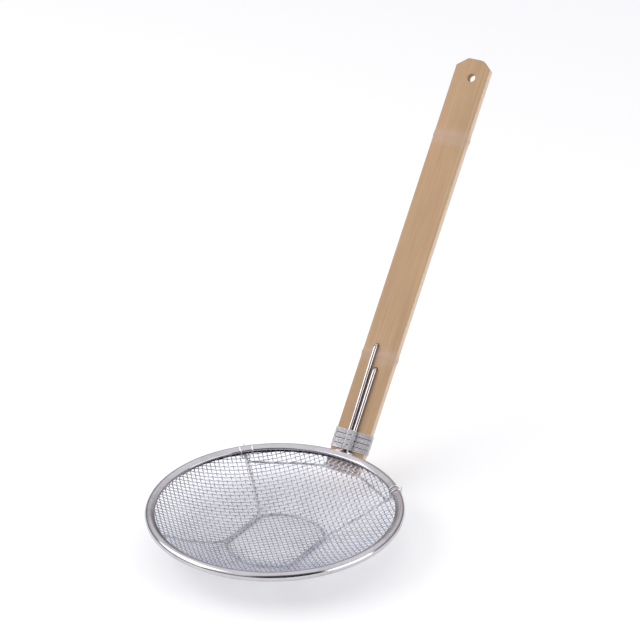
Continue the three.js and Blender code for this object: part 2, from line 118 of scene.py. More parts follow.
# Weld beads: heights, lengths and girths
RUN_WELD_PLACES = (-17, 18)
RUN_WELD_HEIGHT = 1.15
RUN_WELD = (5.5, 0.85)
RING_WELD_ANGLE = 168
RING_WELD_INSET = 0.1
RING_WELD_HEIGHT = 1.25
RING_WELD = (3.4, 1.1)
BRACE_WELD = (3.2, 1.2)
WELD_SIDES = 12
WELD_RINGS = 11
WELD_CUT = 0.97
WELD_WIDTH_RATIO = 1.25
WELD_ROUGHNESS = (0.9, 1.1)

# Ties; the first end lies along the leg, at distances back from the leg's tip and down from the loop
TIE_RADIUS = 0.42
TIE_INSET = 1.2
TIE_ASIDE = (1.7, 4.5)
TIE_CROSSING = (0.82, 0.98)
TIE_SPREAD = 0.5
TIE_LAST_STEPS = 17
TIE_RETURN_STEPS = 10
TIE_LEAD = ((10, 3.2), (7, 1.9), (4.4, 0.6))
TIE_TIP = (1.5, 3.6)
TIE_TIP_RISE = 0.4

# Bamboo slat
BEARING_REACH = 101.3
HANDLE_TILT = 53.8
HANDLE_WIDTH = 33.3
HANDLE_THICKNESS = 6.5
HANDLE_REACH = 356.5
HANDLE_FOOT = 13
HANDLE_CROWN = 0.6
HANDLE_GAP = 4.0
EDGE_ROUND = 1.2
END_ROUND = 0.6
END_STEPS = (0.1, 0.3, 0.6)
CORNER_CUT = 9.3
CORNER_RUN = 7.5
SLAT_STEP = 2.5
NODE_HEIGHTS = (90, 286)
NODE_RISE = 0.4
NODE_WIDTH = 2.2
NODE_REACH = 6.4
HANG_HOLE = 7
HANG_HOLE_SETBACK = 16.6
HANG_HOLE_OFFSET = -1.8
WIRE_HOLE_SLACK = 0.15
HOLE_FLARE = 0.35
FLARE_DEPTH = 0.5
FLARE_START = 0.1
DRILL_ENDS = (3, -9)

# Binding; its ends are tucked in at the back by steps from the first and last turn
BINDING_RADIUS = 0.48
BINDING_PITCH = 0.99
BINDING_TURNS = 16
BINDING_START = 6.1
BINDING_LEAN = 0.02
BINDING_LEAD = ((-3.4, 0.0, 2.2), (-2.4, -0.15, 0.6), (-1.2, -0.05, 0.05))
BINDING_TRAIL = ((1.3, -0.05, 0.1), (2.4, -0.2, -0.6), (3.2, -0.1, -2.2))
GROUP_TURNS = 4
GROUP_GAP = 0.42
GROUP_STEP = 0.82
KNEE_GAP = 0.4
KNEE_RISE = 0.1
BINDING_END = BINDING_START + BINDING_PITCH * BINDING_TURNS + GROUP_GAP * (BINDING_TURNS // GROUP_TURNS)

low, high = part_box("rim_band")
AXIS = np.array([(low.x + (high.y - low.y) / 2) / MM, 0, 0])
rng = np.random.default_rng(4)

# Camera on the photograph's line of sight
VIEW_AZIMUTH = -56.446
VIEW_ELEVATION = 26.232
VIEW_ROLL = -0.846
VIEW_DISTANCE = 1900
VIEW_RIGHT = 36.26
VIEW_UP = 152.25
VIEW_LENS = 132.706
VIEW_SENSOR = 36
VIEW_END = 100


def place_camera():
    data = bpy.data.cameras.new("camera")
    data.lens = VIEW_LENS
    data.sensor_width = VIEW_SENSOR
    data.clip_end = VIEW_END
    turn = Matrix.Rotation(math.radians(VIEW_AZIMUTH), 3, "Z")
    tip = Matrix.Rotation(math.radians(90 - VIEW_ELEVATION), 3, "X")
    roll = Matrix.Rotation(math.radians(VIEW_ROLL), 3, "Z")
    axes = np.array(turn @ tip @ roll)
    place = AXIS + [0, 0, RIM_HEIGHT] + axes @ [VIEW_RIGHT, VIEW_UP, VIEW_DISTANCE]
    camera = bpy.data.objects.new("camera", data)
    camera.matrix_world = Matrix.Translation(place * MM) @ Matrix(axes).to_4x4()
    bpy.context.collection.objects.link(camera)
    bpy.context.scene.camera = camera


place_camera()

# Handle frame: the origin is where the rim bears on its face, X across, Y out of the face, Z along
tilt = math.radians(HANDLE_TILT)
across = np.array([0, 1, 0])
outward = np.array([-math.sin(tilt), 0, math.cos(tilt)])
along = np.array([math.cos(tilt), 0, math.sin(tilt)])
seat = np.array([BEARING_REACH, 0, RIM_HEIGHT]) - outward * HANDLE_GAP


def on_handle(points):
    return seat + np.asarray(points, float) @ np.stack([across, outward, along])


# Node graphs

def add_node(tree, kind, inputs=(), **settings):
    """A node with settings, and inputs as constants or links by name or number."""
    made = tree.nodes.new(kind)
    for key, value in settings.items():
        setattr(made, key, value)
    for key, value in dict(inputs).items():
        if isinstance(value, bpy.types.NodeSocket):
            tree.links.new(value, made.inputs[key])
        else:
            made.inputs[key].default_value = value
    return made


def noise(tree, coords, stretch, detail=4.0, rough=0.55, distort=0.0):
    """Noise over coordinates that are stretched by axis."""
    mapped = add_node(tree, "ShaderNodeMapping", {"Vector": coords, "Scale": stretch})
    made = add_node(tree, "ShaderNodeTexNoise", {
        "Vector": mapped.outputs[0],
        "Scale": 1.0,
        "Detail": detail,
        "Roughness": rough,
        "Distortion": distort,
    })
    return made.outputs[0]


def span(tree, value, low, high, to_low=0.0, to_high=1.0, smooth=False):
    """A value carried from one range to another."""
    kind = "SMOOTHSTEP" if smooth else "LINEAR"
    made = add_node(tree, "ShaderNodeMapRange", {
        "Value": value,
        "From Min": low,
        "From Max": high,
        "To Min": to_low,
        "To Max": to_high,
    }, interpolation_type=kind)
    return made.outputs[0]


def maths(tree, operation, first, second=0.0, third=0.0):
    made = add_node(tree, "ShaderNodeMath", {0: first, 1: second, 2: third}, operation=operation)
    return made.outputs[0]


def blend(tree, share, first, second):
    """Colour between two, by a share from 0 to 1."""
    made = add_node(tree, "ShaderNodeMix", {0: share, 6: first, 7: second}, data_type="RGBA")
    return made.outputs[2]


def linear(red, green, blue):
    """Linear colour of screen values from 0 to 255."""
    screen = np.array([red, green, blue]) / 255
    value = np.where(screen < 0.04045, screen / 12.92, ((screen + 0.055) / 1.055) ** 2.4)
    return (*(float(x) for x in value), 1.0)


def new_material(name, metallic):
    material = bpy.data.materials.new(name)
    material.use_nodes = True
    surface = material.node_tree.nodes["Principled BSDF"]
    surface.inputs["Metallic"].default_value = metallic
    return material, material.node_tree, surface


def add_relief(tree, surface, height, strength, depth):
    bump = add_node(tree, "ShaderNodeBump", {"Strength": strength, "Distance": depth, "Height": height})
    tree.links.new(bump.outputs[0], surface.inputs["Normal"])


# Steel: scales of its patterns per metre, and what share each has in the colour, sheen and relief
LINE_SCALE = 40
CLOUD_SCALE = (45, 45, 45)
SPECK_SCALE = (900, 900, 900)
STAIN_SHARE = 0.55
LINE_SHARE = 0.45
DULL_SHARE = 0.6
SPECK_SHARE = 0.4
SPECK_RELIEF = 0.35
STEEL_RELIEF = 0.5


def drawn_steel(name, light, dark, smooth, rough, streak, depth):
    """Steel with drawing lines along the wire or strip, faint stains and fine scratches."""
    material, tree, surface = new_material(name, 1.0)
    laid = add_node(tree, "ShaderNodeUVMap", uv_map="lay").outputs[0]
    placed = add_node(tree, "ShaderNodeTexCoord").outputs["Object"]
    lines = noise(tree, laid, (LINE_SCALE, streak, 1), 3.0, 0.6)
    cloud = noise(tree, placed, CLOUD_SCALE, 5.0, 0.6)
    speck = noise(tree, placed, SPECK_SCALE, 3.0, 0.5)
    stain = maths(tree, "MULTIPLY", span(tree, cloud, 0.42, 0.7, smooth=True), STAIN_SHARE)
    worn = maths(tree, "MULTIPLY_ADD", span(tree, lines, 0.3, 0.7), LINE_SHARE, stain)
    tree.links.new(blend(tree, worn, linear(*light), linear(*dark)), surface.inputs["Base Color"])
    dull = maths(tree, "MULTIPLY", worn, DULL_SHARE)
    sheen = maths(tree, "MULTIPLY_ADD", span(tree, speck, 0.35, 0.75), SPECK_SHARE, dull)
    tree.links.new(span(tree, sheen, 0.0, 1.0, smooth, rough), surface.inputs["Roughness"])
    height = maths(tree, "MULTIPLY_ADD", speck, SPECK_RELIEF, lines)
    add_relief(tree, surface, height, STEEL_RELIEF, depth)
    return material


# Bamboo: scales of its patterns per metre, screen colours, and where each mark starts and is full
FIBRE_SCALE = (1500, 1500, 14)
STRAND_SCALE = (420, 420, 6)
PATCH_SCALE = (60, 60, 16)
BLUSH_SCALE = (95, 95, 9)
YELLOW_BAMBOO = (194, 159, 117)
GREY_BAMBOO = (186, 151, 114)
BLUSH_COLOUR = (196, 153, 117)
FIBRE_COLOUR = (158, 122, 92)
STRAND_COLOUR = (208, 178, 144)
BACK_COLOUR = (212, 188, 158)
# Painted light: paler slat edges, as if lit from the side
PAINTED_SIDE_LIGHT = (226, 206, 186)
# Painted light: paler foot of the slat, lightened against the shade it lies in under the rim
PAINTED_FOOT_LIGHT = (222, 202, 182)
# Painted shade: grey-dark bamboo under the binding, seen in the gaps between its turns
BINDING_SHADE_COLOUR = (104, 98, 98)
NODE_COLOUR = (200, 170, 150)
CREST_COLOUR = (176, 148, 138)
FIBRE_SHARE = 0.5
STRAND_SHARE = 0.35
BACK_BAND = (-3.5, -6.2, 0.6)
PAINTED_SIDE_LIGHT_BAND = (15.6, 16.5, 0.85)
PAINTED_FOOT_LIGHT_BAND = (3, -4, 0.8)
BINDING_SHADE_LOWER_BAND = (6.8, 8.0, 0.75)
BINDING_SHADE_UPPER_BAND = (23.2, 22.0, 1.0)
NODE_BAND = (11, 1, 0.5)
CREST_BAND = (1.6, 0.2, 0.2)
NODE_WAVE = 6
BAMBOO_SHEEN = (0.42, 0.66)
STRAND_RELIEF = 0.6
BAMBOO_RELIEF = 0.35
BAMBOO_RELIEF_DEPTH = 0.2


def handle_coordinates(tree):
    """Coordinates in the handle's frame, in metres."""
    placed = add_node(tree, "ShaderNodeTexCoord").outputs["Object"]
    turn = Matrix(np.column_stack([across, outward, along])).to_euler()
    mapped = add_node(tree, "ShaderNodeMapping", {
        "Vector": placed,
        "Location": tuple((seat + AXIS) * MM),
        "Rotation": turn,
    }, vector_type="TEXTURE")
    return mapped.outputs[0]


def band(tree, place, start, full, share):
    """Share that grows smoothly from nothing between two places."""
    return span(tree, place, start * MM, full * MM, 0.0, share, smooth=True)


def sawn_bamboo():
    """Bamboo slat: fibres along it, warm and grey patches, a paler back, sides and foot with painted
    light, painted shade under the binding, marked nodes.
    """
    material, tree, surface = new_material("bamboo_slat", 0.0)
    placed = handle_coordinates(tree)
    x, y, z = add_node(tree, "ShaderNodeSeparateXYZ", {0: placed}).outputs
    fibre = noise(tree, placed, FIBRE_SCALE, 4.0, 0.6, 0.15)
    strand = noise(tree, placed, STRAND_SCALE, 3.0, 0.5, 0.2)
    patch = noise(tree, placed, PATCH_SCALE, 3.0, 0.5)
    blush = noise(tree, placed, BLUSH_SCALE, 2.0, 0.5)
    # Painted shade under the binding, from its lower to its upper end
    binding_shade_start = band(tree, z, *BINDING_SHADE_LOWER_BAND)
    layers = [
        (span(tree, patch, 0.35, 0.65), GREY_BAMBOO),
        (span(tree, blush, 0.5, 0.72, smooth=True), BLUSH_COLOUR),
        (maths(tree, "MULTIPLY", span(tree, fibre, 0.5, 0.78), FIBRE_SHARE), FIBRE_COLOUR),
        (maths(tree, "MULTIPLY", span(tree, strand, 0.52, 0.75), STRAND_SHARE), STRAND_COLOUR),
        (band(tree, y, *BACK_BAND), BACK_COLOUR),
        # Painted light on both edges of the slat
        (band(tree, maths(tree, "ABSOLUTE", x), *PAINTED_SIDE_LIGHT_BAND), PAINTED_SIDE_LIGHT),
        # Painted light on the slat's foot
        (band(tree, z, *PAINTED_FOOT_LIGHT_BAND), PAINTED_FOOT_LIGHT),
        (maths(tree, "MULTIPLY", binding_shade_start, band(tree, z, *BINDING_SHADE_UPPER_BAND)), BINDING_SHADE_COLOUR),
    ]
    middle = maths(tree, "SUBTRACT", z, NODE_WAVE / 2 * MM)
    height = maths(tree, "MULTIPLY_ADD", blush, NODE_WAVE * MM, middle)
    crests = []
    for node in NODE_HEIGHTS:
        away = maths(tree, "ABSOLUTE", maths(tree, "SUBTRACT", height, node * MM))
        crests.append(band(tree, away, *CREST_BAND))
        layers.append((band(tree, away, *NODE_BAND), NODE_COLOUR))
        layers.append((crests[-1], CREST_COLOUR))
    body = linear(*YELLOW_BAMBOO)
    for share, colour in layers:
        body = blend(tree, share, body, linear(*colour))
    tree.links.new(body, surface.inputs["Base Color"])
    gloss = maths(tree, "MULTIPLY_ADD", fibre, 0.5, maths(tree, "MULTIPLY", patch, 0.5))
    tree.links.new(span(tree, gloss, 0.3, 0.7, *BAMBOO_SHEEN), surface.inputs["Roughness"])
    ridge = crests[0]
    for crest in crests[1:]:
        ridge = maths(tree, "MAXIMUM", ridge, crest)
    relief = maths(tree, "MULTIPLY_ADD", strand, STRAND_RELIEF, maths(tree, "SUBTRACT", fibre, ridge))
    add_relief(tree, surface, relief, BAMBOO_RELIEF, BAMBOO_RELIEF_DEPTH * MM)
    return material


# Light and dark screen colours, least and greatest roughness, lines per metre and their depth in metres
polished = drawn_steel("polished_steel", (208, 205, 208), (177, 173, 178), 0.08, 0.22, 2500, 0.000006)
wound = drawn_steel("wound_wire", (220, 218, 220), (184, 180, 184), 0.22, 0.4, 1500, 0.00001)
tie_wire = drawn_steel("tie_wire", (240, 239, 241), (220, 218, 221), 0.26, 0.4, 1500, 0.00001)
# Painted light: the base wires' steel is made lighter to offset the shade they lie in under the cloth
lightened_frame_wire = drawn_steel("lightened_frame_wire", (227, 226, 230), (194, 192, 197), 0.3, 0.48, 1800, 0.00003)
cloth_wire = drawn_steel("cloth_wire", (190, 191, 203), (158, 158, 170), 0.28, 0.46, 1500, 0.00001)
# Painted shade: near-black steel standing in for the shade inside the roll, used on the roll's inside
# faces and on the hoop within it
painted_shade = drawn_steel("shut_in_steel", (44, 42, 44), (24, 23, 25), 0.6, 0.85, 600, 0.00004)
bead_steel = drawn_steel("weld_steel", (188, 186, 188), (122, 116, 114), 0.3, 0.6, 700, 0.0001)
bamboo = sawn_bamboo()


# Surfaces from rows of matching rings

def skin(rings, hoop=False):
    """Corners, faces and map of a closed tube through rings, with flat ends unless it is a hoop."""
    rows, around = rings.shape[:2]
    middle = rings[rows // 2]
    step = np.linalg.norm(np.diff(rings[:, 0], axis=0, append=rings[:1, 0]), axis=1) * MM
    girth = np.linalg.norm(np.diff(middle, axis=0, append=middle[:1]), axis=1) * MM
    reach = np.concatenate([[0], np.cumsum(step)])
    turn = np.concatenate([[0], np.cumsum(girth)])
    spans = rows if hoop else rows - 1
    i, k = np.meshgrid(np.arange(spans), np.arange(around), indexing="ij")
    i, k = i.ravel(), k.ravel()
    here, ahead, beside = i * around, (i + 1) % rows * around, (k + 1) % around
    faces = np.stack([here + k, here + beside, ahead + beside, ahead + k], 1).tolist()
    near, far = reach[i], reach[i + 1]
    first, second = turn[k], turn[k + 1]
    laid = np.stack([near, first, near, second, far, second, far, first], 1).reshape(-1, 2).tolist()
    if not hoop:
        faces.append(list(range(around))[::-1])
        faces.append(list(range((rows - 1) * around, rows * around)))
        laid.extend([[0.0, 0.0]] * (2 * around))
    return rings.reshape(-1, 3), faces, laid


def tangents(points, hoop=False):
    ahead = np.roll(points, -1, axis=0) - points
    back = points - np.roll(points, 1, axis=0)
    if not hoop:
        ahead[-1] = back[-1]
        back[0] = ahead[0]
    ahead = ahead / np.linalg.norm(ahead, axis=1)[:, None]
    back = back / np.linalg.norm(back, axis=1)[:, None]
    mean = ahead + back
    return mean / np.linalg.norm(mean, axis=1)[:, None]


# Rounded cut of a wire, in wire radii: distances from the end and the radius at each
CUT_REACH = (0, 0.12, 0.4)
CUT_RADIUS = (0.6, 0.9, 1)


def wire(points, radius, sides, normal=(0, 0, 1), hoop=False):
    """Round wire along points, one side held towards a normal, its cut ends slightly rounded."""
    points = np.asarray(points, float)
    normal = np.asarray(normal, float)
    scale = np.ones(len(points))
    if not hoop:
        ends = tangents(points)[[0, -1]]
        first = points[0] + np.outer(CUT_REACH, ends[0]) * radius
        last = points[-1] - np.outer(CUT_REACH[::-1], ends[1]) * radius
        points = np.concatenate([first, points[1:-1], last])
        scale = np.concatenate([CUT_RADIUS, np.ones(len(points) - 2 * len(CUT_RADIUS)), CUT_RADIUS[::-1]])
    way = tangents(points, hoop)
    facing = normal - way * (way @ normal)[:, None]
    facing /= np.linalg.norm(facing, axis=1)[:, None]
    sideways = np.cross(way, facing)
    angle = np.arange(sides) / sides * 2 * math.pi
    cosine, sine = np.cos(angle)[None, :, None], np.sin(angle)[None, :, None]
    ring = facing[:, None] * cosine + sideways[:, None] * sine
    return skin(points[:, None] + ring * (radius * scale)[:, None, None], hoop)


def curve(points, steps):
    """Smooth line through points, with a number of steps between each two."""
    points = np.asarray(points, float)
    held = np.concatenate([[2 * points[0] - points[1]], points, [2 * points[-1] - points[-2]]])
    t = (np.arange(steps) / steps)[None, :, None]
    a, b, c, d = (held[k:len(held) - 3 + k][:, None] for k in range(4))
    square = (2 * a - 5 * b + 4 * c - d) * t ** 2
    cube = (3 * b - a - 3 * c + d) * t ** 3
    rows = 0.5 * (2 * b + (c - a) * t + square + cube)
    return np.concatenate([rows.reshape(-1, points.shape[1]), points[-1:]])


def even(points, count):
    """Points at even distances along a line of points."""
    points = np.asarray(points, float)
    reach = np.concatenate([[0], np.cumsum(np.linalg.norm(np.diff(points, axis=0), axis=1))])
    at = np.linspace(0, reach[-1], count)
    return np.stack([np.interp(at, reach, column) for column in points.T], 1)


def smoothed(share):
    share = np.clip(share, 0, 1)
    return share * share * (3 - 2 * share)


def ray(degrees, reach):
    return np.array([math.cos(math.radians(degrees)), math.sin(math.radians(degrees))]) * reach


def bow(start, pull, end, steps):
    """Curve from one point to another, drawn towards a third."""
    start, pull, end = np.asarray(start), np.asarray(pull), np.asarray(end)
    t = np.linspace(0, 1, steps)[:, None]
    return start * (1 - t) ** 2 + 2 * pull * t * (1 - t) + end * t ** 2


SHARP_EDGE = math.radians(35)


def new_object(name, parts, materials):
    """One mesh object from closed surfaces, given in millimetres from the bowl's axis."""
    corners, faces, laid = [], [], []
    start = 0
    for points, polygons, places in parts:
        corners.append(points)
        faces.extend([[start + k for k in polygon] for polygon in polygons])
        laid.extend(places)
        start += len(points)
    mesh = bpy.data.meshes.new(name)
    mesh.from_pydata(((np.concatenate(corners) + AXIS) * MM).tolist(), [], faces)
    mesh.uv_layers.new(name="lay").data.foreach_set("uv", np.asarray(laid, np.float32).ravel())
    mesh.polygons.foreach_set("use_smooth", np.ones(len(mesh.polygons), bool))
    mesh.update()
    mesh.set_sharp_from_angle(angle=SHARP_EDGE)
    for material in materials:
        mesh.materials.append(material)
    made = bpy.data.objects.new(name, mesh)
    bpy.context.collection.objects.link(made)
    return made


def make_piece(name, parts, materials, nodes=()):
    """A piece that rides on the strainer's only body and stands for nodes of the part."""
    piece = new_object(name, parts, materials)
    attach(piece, "root")
    if nodes:
        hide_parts(*nodes)
    return piece


def cut(piece, parts):
    """Takes closed surfaces away from a piece."""
    tool = new_object("tool", parts, [])
    away = piece.modifiers.new("cut", "BOOLEAN")
    away.operation = "DIFFERENCE"
    away.solver = "EXACT"
    away.object = tool
    whole = piece.evaluated_get(bpy.context.evaluated_depsgraph_get())
    mesh = bpy.data.meshes.new_from_object(whole)
    piece.modifiers.clear()
    piece.data = mesh
    mesh.set_sharp_from_angle(angle=SHARP_EDGE)
    bpy.data.objects.remove(tool)


# Rolled rim

# Middle of the bend above the lip, from the roll's centre, and the reach of the lip's face
flat_way = math.radians(180 - FLAT_ANGLE)
flat_normal = np.array([math.cos(flat_way), math.sin(flat_way)])
flat_end = flat_normal * ROLL_RADIUS + np.array([-flat_normal[1], flat_normal[0]]) * FLAT_LENGTH
lip_bend = flat_end - flat_normal * LIP_BEND
lip_reach = ROLL_CENTRE + lip_bend[0] - LIP_BEND


def roll_section():
    """Section of the rolled strip about the roll's centre, and how many of its points face out."""
    turn = np.linspace(math.radians(LOWER_LIP - 180), flat_way, ROLL_STEPS)
    bend = np.linspace(flat_way, math.pi, BEND_STEPS)
    roll_way = np.stack([np.cos(turn), np.sin(turn)], 1)
    bend_way = np.stack([np.cos(bend), np.sin(bend)], 1)
    face = np.concatenate([
        ROLL_RADIUS * roll_way,
        lip_bend + LIP_BEND * bend_way,
        [lip_bend - [LIP_BEND, LIP_DROP]],
    ])
    normal = np.concatenate([roll_way, bend_way, bend_way[-1:]])
    ahead = np.stack([-normal[:, 1], normal[:, 0]], 1)
    half = STRIP_THICKNESS / 2
    middle = face - half * normal
    round_end = np.linspace(0, math.pi, LIP_STEPS + 2)[1:-1, None]
    upper = middle[-1] + half * (np.cos(round_end) * normal[-1] + np.sin(round_end) * ahead[-1])
    lower = middle[0] - half * (np.cos(round_end) * normal[0] + np.sin(round_end) * ahead[0])
    return np.concatenate([face, upper, (middle - half * normal)[::-1], lower]), len(face)


def rim_band():
    """Rolled strip, cut away at the handle where the hoop's ends come out."""
    section, shown = roll_section()
    turns = np.linspace(0, 2 * math.pi, RIM_STEPS, endpoint=False)[:, None]
    out = ROLL_CENTRE + section[None, :, 0]
    up = RIM_HEIGHT + np.broadcast_to(section[:, 1], (len(turns), len(section)))
    corners, faces, laid = skin(np.stack([out * np.cos(turns), out * np.sin(turns), up], 2), hoop=True)
    parts = [(corners, faces, laid)]
    piece = make_piece("rim_roll", parts, [polished, painted_shade], ["rim_band"])
    # The roll's inside faces get the painted shade
    place = np.array([face[0] for face in faces]) % len(section)
    shaded_inside = (place >= shown + LIP_STEPS) & (place < 2 * shown + LIP_STEPS)
    piece.data.polygons.foreach_set("material_index", shaded_inside.astype(np.int32))
    wide = TAIL_EXIT + WINDOW_SIDE
    deep = ROLL_RADIUS + CORE_RADIUS + WINDOW_DEPTH
    ring = np.array([[-wide, -deep], [wide, -deep], [wide, deep], [-wide, deep]])
    levels = (-CORE_RADIUS, HANDLE_GAP + WINDOW_TOP)
    window = np.array([np.column_stack([ring, np.full(4, z)]) for z in levels])
    cut(piece, [skin(on_handle(window))])


# Hoop in the roll, with both its ends on the handle

def tail(side, hole, reach, rest):
    """One end of the hoop, out of the roll, under the binding and up to its hole in the handle."""
    x = side * TAIL_OFFSET + TAIL_SHIFT
    knee = x + side * TAIL_BEND
    lying = CORE_RADIUS + TOUCH
    points = []
    for t in np.linspace(0, 1, 7):
        aside = side * TAIL_EXIT + (knee - side * TAIL_EXIT) * t
        leave = np.array([math.sqrt(HOOP_RADIUS ** 2 - aside ** 2), aside, RIM_HEIGHT]) - seat
        foot = np.array([leave @ across, leave @ outward, leave @ along + TAIL_LIFT * smoothed(t)])
        points.append(foot)
    for t in np.linspace(0, 1, 9)[1:]:
        bend = t * math.pi / 2
        aside = x + side * TAIL_BEND * (1 - math.sin(bend))
        rise = foot[2] + TAIL_BEND * (1 - math.cos(bend))
        points.append([aside, foot[1] + (lying - foot[1]) * smoothed(t), rise])
    points.append([x, lying, BINDING_END])
    for t in np.linspace(*TAIL_LEAN, 4):
        lean = (hole - x) * smoothed(t)
        points.append([x + lean, lying + (rest - lying) * t, BINDING_END + (reach - BINDING_END) * t])
    for t in np.linspace(0, 1, 6):
        bend = t * math.pi / 2
        sunk = HOOK_BEND * (1 - math.cos(bend))
        points.append([hole, rest - sunk, reach - HOOK_BEND * (1 - math.sin(bend))])
    points.append([hole, -HOOK_DEPTH, reach])
    return on_handle(points)


def rim_hoop():
    """Hoop wire, with painted shade where the roll shuts it in."""
    left = tail(1, LEFT_HOLE, LEFT_TAIL_REACH, CORE_RADIUS + NODE_RISE + TOUCH)
    right = tail(-1, RIGHT_HOLE, RIGHT_TAIL_REACH, CORE_RADIUS + TOUCH)
    leave = HOOP_LEAVE_RATIO * math.asin(TAIL_EXIT / HOOP_RADIUS)
    turns = np.linspace(leave, 2 * math.pi - leave, 120)
    level = np.full(len(turns), RIM_HEIGHT)
    hoop = np.stack([HOOP_RADIUS * np.cos(turns), HOOP_RADIUS * np.sin(turns), level], 1)
    points = curve(np.concatenate([left[::-1], hoop, right]), 3)
    corners, faces, laid = wire(points, CORE_RADIUS, 20)
    parts = [(corners, faces, laid)]
    piece = make_piece("rim_hoop", parts, [polished, painted_shade], ["rim_core_wire"])
    exit_reach = math.sqrt(HOOP_RADIUS ** 2 - TAIL_EXIT ** 2)
    # The hoop's part deep in the roll gets the painted shade
    shaded_in_roll = corners[[face[0] for face in faces]][:, 0] < exit_reach - HOOP_SHADE_SETBACK
    piece.data.polygons.foreach_set("material_index", shaded_in_roll.astype(np.int32))


# Woven bowl

slit_radius = ROLL_RADIUS - STRIP_THICKNESS / 2
slit_reach = ROLL_CENTRE - slit_radius * math.cos(math.radians(SLIT_ANGLE))
slit_height = RIM_HEIGHT - slit_radius * math.sin(math.radians(SLIT_ANGLE))
cloth_floor = 2 * FRAME_RADIUS + MESH_WIRE + TOUCH


def dish_share(radius):
    return np.clip((radius - FLOOR_RADIUS) / (CLOTH_EDGE - FLOOR_RADIUS), 0, None)


bowl_depth = (slit_height - cloth_floor) / dish_share(slit_reach) ** WALL_SWEEP


def dish_height(radius):
    return cloth_floor + bowl_depth * dish_share(radius) ** WALL_SWEEP


def dish_steepness(radius):
    return bowl_depth * WALL_SWEEP * dish_share(radius) ** (WALL_SWEEP - 1) / (CLOTH_EDGE - FLOOR_RADIUS)


def wire_offsets():
    """Offsets of the parallel wires from the middle, a pitch apart along the cloth."""
    radius = np.linspace(0, CLOTH_EDGE, 4000)
    steep = dish_steepness(radius)
    laid = np.concatenate([[0], np.cumsum(np.hypot(1, steep)[:-1] * np.diff(radius))])
    half = np.interp(np.arange(MESH_PITCH, laid[-1], MESH_PITCH), laid, radius)
    half = half[np.hypot(half, MESH_PITCH) < CLOTH_EDGE]
    return np.concatenate([-half[::-1], [0], half])


offsets = wire_offsets()


def turned_up(end):
    """End of a wire of the cloth inside the roll, bent up between the hoop and the lip."""
    out = end[:2] / np.hypot(*end[:2])
    return np.array([[*out * (ROLL_CENTRE + reach), RIM_HEIGHT + rise] for reach, rise in TURNED_UP])


def woven_wires(way):
    """All wires of one direction, each going over and under the others in turn."""
    parts = []
    turn = math.radians(MESH_TURN + 90 * way)
    lift = (-1 if way else 1) * (MESH_WIRE / 2 + TOUCH / 2)
    for row, offset in enumerate(offsets):
        end = math.sqrt(CLOTH_EDGE ** 2 - offset ** 2)
        inside = offsets[np.abs(offsets) < end - MESH_WIRE]
        knots = np.concatenate([[-end], inside, [end]])
        u = np.interp(np.arange(4 * len(knots) - 3) / 4, np.arange(len(knots)), knots)
        crossing = np.interp(u, offsets, np.arange(len(offsets)))
        swing = rng.uniform(*WIRE_SWING)
        v = offset + swing * np.sin(u / rng.uniform(*SWING_LENGTH) + rng.uniform(0, 2 * math.pi))
        radius = np.hypot(u, v)
        steep = dish_steepness(radius)
        over = lift * np.cos(math.pi * (crossing + row)) / np.hypot(1, steep)
        shift = 1 - steep * over / np.maximum(radius, MESH_WIRE)
        x = (u * math.cos(turn) - v * math.sin(turn)) * shift
        y = (u * math.sin(turn) + v * math.cos(turn)) * shift
        laid = np.stack([x, y, dish_height(radius) + over], 1)
        inner = laid[np.hypot(x, y) < ROLL_CENTRE - CLOTH_INSET]
        whole = np.concatenate([turned_up(laid[0])[::-1], inner, turned_up(laid[-1])])
        parts.append(wire(whole, MESH_WIRE / 2, 6))
    return parts


# Wire base

def under_cloth(plan):
    """Heights of a frame wire's axis where it lies against the underside of the cloth."""
    radius = np.hypot(plan[:, 0], plan[:, 1])
    drop = (FRAME_RADIUS + MESH_WIRE) * np.hypot(1, dish_steepness(radius))
    return dish_height(radius) - drop


def base_ring():
    """Ring that the bowl stands on: a circle with two flattened sides and soft corners."""
    corner = math.asin(BASE_FLAT / BASE_RADIUS)
    front = np.linspace(-corner, corner, 40)
    turns = np.concatenate([front, front + math.pi, front[:1]])
    outline = even(np.stack([np.cos(turns), np.sin(turns)], 1) * BASE_RADIUS, 241)[:-1]
    for _ in range(BASE_SMOOTHINGS):
        outline = (np.roll(outline, 1, axis=0) + 2 * outline + np.roll(outline, -1, axis=0)) / 4
    points = np.column_stack([outline, np.full(len(outline), FRAME_RADIUS)])
    parts = [wire(points, FRAME_RADIUS, 16, hoop=True)]
    make_piece("base_ring_wire", parts, [lightened_frame_wire], ["base_ring"])


def support_wire(name, node, side, front_angle):
    """Front leg, run beside the base ring and rear leg, in one wire."""
    pull = LEG_REACH * LEG_BEND_RATIO
    run = [RUN_HALF_LENGTH, RUN_OFFSET]
    rear_run = [-RUN_HALF_LENGTH, RUN_OFFSET]
    front = bow(ray(front_angle, LEG_REACH), ray(front_angle, pull), run, 30)
    rear = bow(rear_run, ray(REAR_LEG, pull), ray(REAR_LEG, LEG_REACH), 30)
    plan = even(np.concatenate([front, rear]), 110) * [1, side]
    points = np.column_stack([plan, under_cloth(plan)])
    make_piece(name, [wire(points, FRAME_RADIUS, 14)], [lightened_frame_wire], [node])


def leg_reach_at(height):
    """Distance from the middle at which a leg's axis passes a height."""
    radius = np.linspace(FLOOR_RADIUS, LEG_REACH, 2000)
    level = under_cloth(np.column_stack([radius, 0 * radius]))
    return float(np.interp(height, level, radius))


